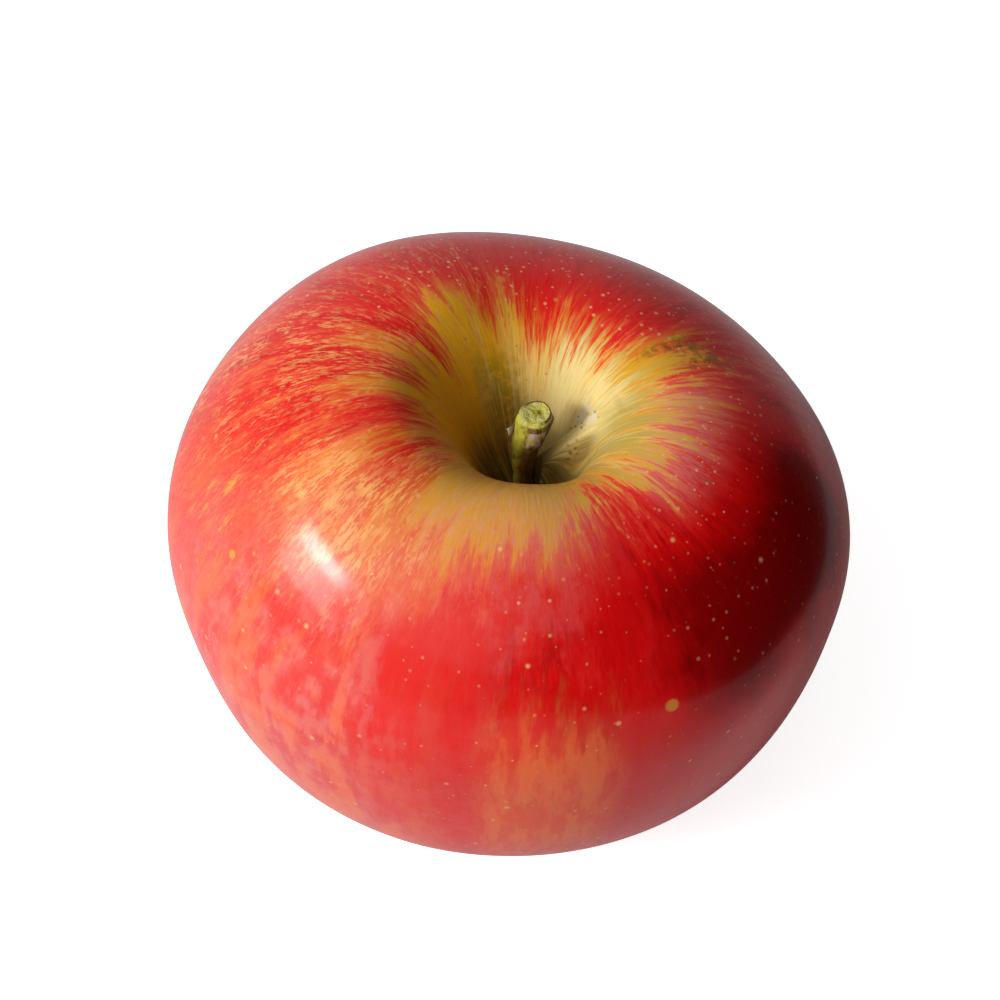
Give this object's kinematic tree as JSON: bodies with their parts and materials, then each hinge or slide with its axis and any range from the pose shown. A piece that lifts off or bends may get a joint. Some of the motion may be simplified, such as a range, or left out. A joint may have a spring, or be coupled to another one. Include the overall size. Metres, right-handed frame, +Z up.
{
  "type": "red apple",
  "caption": "Whole ripe red apple standing on its eye end, uneven round fruit with a deep stem pit, a short thick stem and a dried calyx in the eye basin.",
  "frame": {"origin": "on the resting plane, below the middle of the fruit's outline seen from above", "axes": "+Z up along the core, from the eye to the stem; +X along the fruit's widest way, to the side of the lower shoulder"},
  "size_m": [0.08, 0.0762, 0.0664],
  "materials": {
    "apple_skin": "waxy red skin with yellow streaks running out of the stem pit and small pale dots",
    "stem_bark": "green-brown young bark, satin, with a pale slanted scar at the end",
    "dried_calyx": "dry grey-brown, matt, slightly felted"
  },
  "bodies": {
    "root": {"fruit": "apple_skin", "stem": "stem_bark", "calyx": "dried_calyx"}
  },
  "joints": []
}
